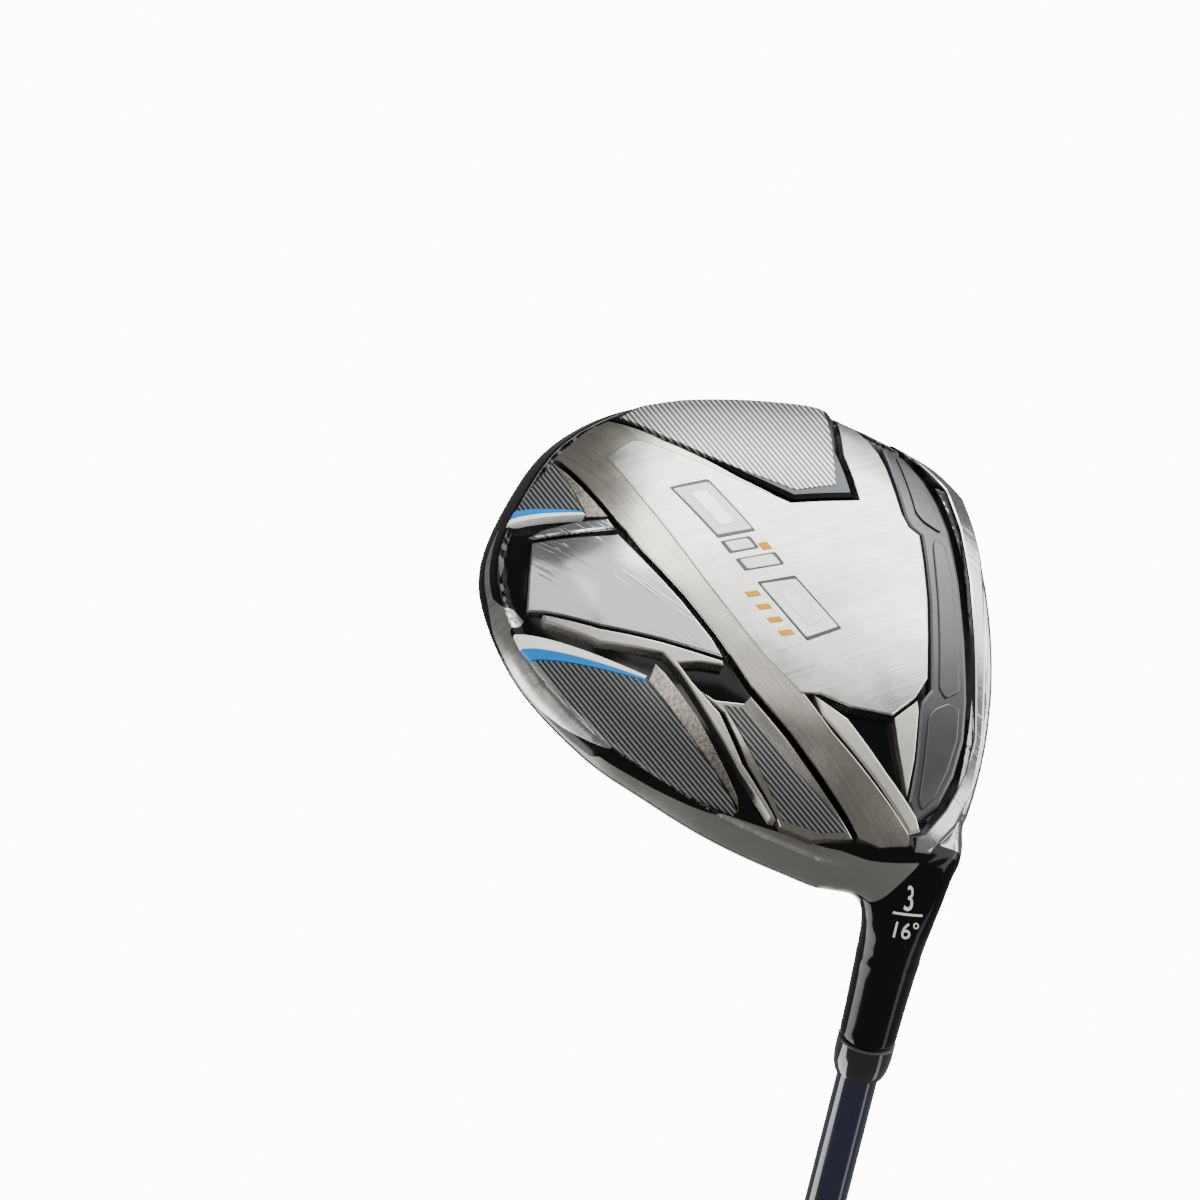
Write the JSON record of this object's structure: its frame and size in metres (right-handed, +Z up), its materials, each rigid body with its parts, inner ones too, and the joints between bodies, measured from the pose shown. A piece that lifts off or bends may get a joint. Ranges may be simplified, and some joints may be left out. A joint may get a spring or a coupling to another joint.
{
  "type": "fairway wood",
  "caption": "Right-handed fairway wood: low hollow head with a trimmed sole, bonded crown and face, bonded hosel, tapered shaft and rubber grip.",
  "frame": {"origin": "middle of the small flat pad on which the sole rests at address", "axes": "+X from the toe to the heel, +Y from the face to the back, +Z up; the shaft rises in the XZ plane's direction at the lie angle"},
  "size_m": [0.6827, 0.1047, 0.9428],
  "materials": {
    "cast_head": "polished dark plating",
    "forged_face": "satin dark plating",
    "carbon_crown": "clear lacquer over woven carbon",
    "slot_rubber": "smooth moulded",
    "hot_melt": "set glue",
    "bright_badge": "fine diagonal lines",
    "dark_badge": "fine diagonal lines",
    "shaft_lacquer": "gloss lacquer over carbon fibre",
    "tip_plug": "raw cork",
    "ferrule_plastic": "buffed",
    "tape": "paper tape",
    "grip_rubber": "moulded texture"
  },
  "bodies": {
    "root": {"head_body": "cast_head", "face_plate": "forged_face", "crown_panel": "carbon_crown", "speed_pocket_insert": "slot_rubber", "hot_melt_pad": "hot_melt", "toe_badge": "bright_badge", "rear_toe_badge": "dark_badge", "rear_heel_badge": "dark_badge", "heel_badge": "dark_badge", "shaft": "shaft_lacquer", "shaft_tip_plug": "tip_plug", "ferrule": "ferrule_plastic", "grip_tape": "tape", "grip": "grip_rubber", "grip_cap": "grip_rubber"}
  },
  "joints": []
}
